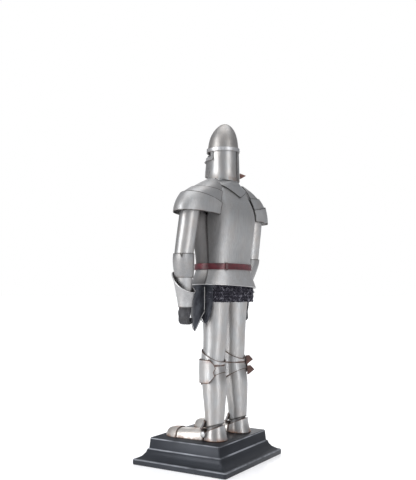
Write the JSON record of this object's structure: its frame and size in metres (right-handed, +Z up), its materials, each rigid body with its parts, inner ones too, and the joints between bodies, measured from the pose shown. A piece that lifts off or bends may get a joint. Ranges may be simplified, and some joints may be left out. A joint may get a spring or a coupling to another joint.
{
  "type": "miniature suit of plate armour on a plinth",
  "caption": "Miniature steel plate armour standing empty on a stepped black plinth, with closed helm, layered shoulder and limb plates, mail skirt, hip plates, belt and steel shoes.",
  "frame": {"origin": "centre of the plinth's underside", "axes": "+Z up, the figure faces -Y, its left side is +X"},
  "size_m": [0.2992, 0.188, 0.6078],
  "materials": {
    "polished_steel": "polished sheet steel with fine vertical brushing and light rust at the edges",
    "blackened_steel": "blackened sheet steel with a worn bright rim",
    "mail_rings": "dark steel ring mail",
    "black_plinth": "black satin lacquer",
    "belt_leather": "burgundy leather",
    "glove_leather": "black leather",
    "strap_leather": "brown leather"
  },
  "bodies": {
    "root": {"plinth": "black_plinth", "back_plate": "polished_steel", "breast_plate": "polished_steel", "fauld_back": "polished_steel", "fauld_front": "polished_steel", "mail_skirt": "mail_rings", "waist_belt": "belt_leather", "belt_keeper": "polished_steel", "belt_buckle": "polished_steel", "helm_skull": "polished_steel", "helm_barrel": "polished_steel", "helm_brow_band": "polished_steel", "helm_sight_frame": "polished_steel", "helm_back_strip": "polished_steel", "gorget_back": "polished_steel", "gorget_front": "polished_steel", "right_knee_strap_upper": "strap_leather", "right_knee_strap_lower": "strap_leather", "helm_strap_end": "strap_leather", "left_tasset_front": "blackened_steel", "right_tasset_front": "blackened_steel", "left_tasset_side": "blackened_steel", "right_tasset_side": "blackened_steel", "left_pauldron_low": "polished_steel", "right_pauldron_low": "polished_steel", "left_pauldron_middle": "polished_steel", "right_pauldron_middle": "polished_steel", "left_pauldron_top": "polished_steel", "right_pauldron_top": "polished_steel", "left_rerebrace": "polished_steel", "right_rerebrace": "polished_steel", "left_elbow": "polished_steel", "right_elbow": "polished_steel", "left_vambrace": "polished_steel", "right_vambrace": "polished_steel", "left_gauntlet_cuff": "polished_steel", "right_gauntlet_cuff": "polished_steel", "left_gauntlet_glove": "glove_leather", "right_gauntlet_glove": "glove_leather", "left_cuisse": "polished_steel", "right_cuisse": "polished_steel", "left_greave": "polished_steel", "right_greave": "polished_steel", "left_knee_upper_lame": "polished_steel", "right_knee_upper_lame": "polished_steel", "left_knee_lower_lame": "polished_steel", "right_knee_lower_lame": "polished_steel", "left_poleyn": "polished_steel", "right_poleyn": "polished_steel", "left_sabaton": "polished_steel", "right_sabaton": "polished_steel", "left_toe_cap": "polished_steel", "right_toe_cap": "polished_steel", "left_ankle_guard": "polished_steel", "right_ankle_guard": "polished_steel", "left_heel_plate": "polished_steel", "right_heel_plate": "polished_steel", "left_ankle_disc": "polished_steel", "right_ankle_disc": "polished_steel"}
  },
  "joints": []
}
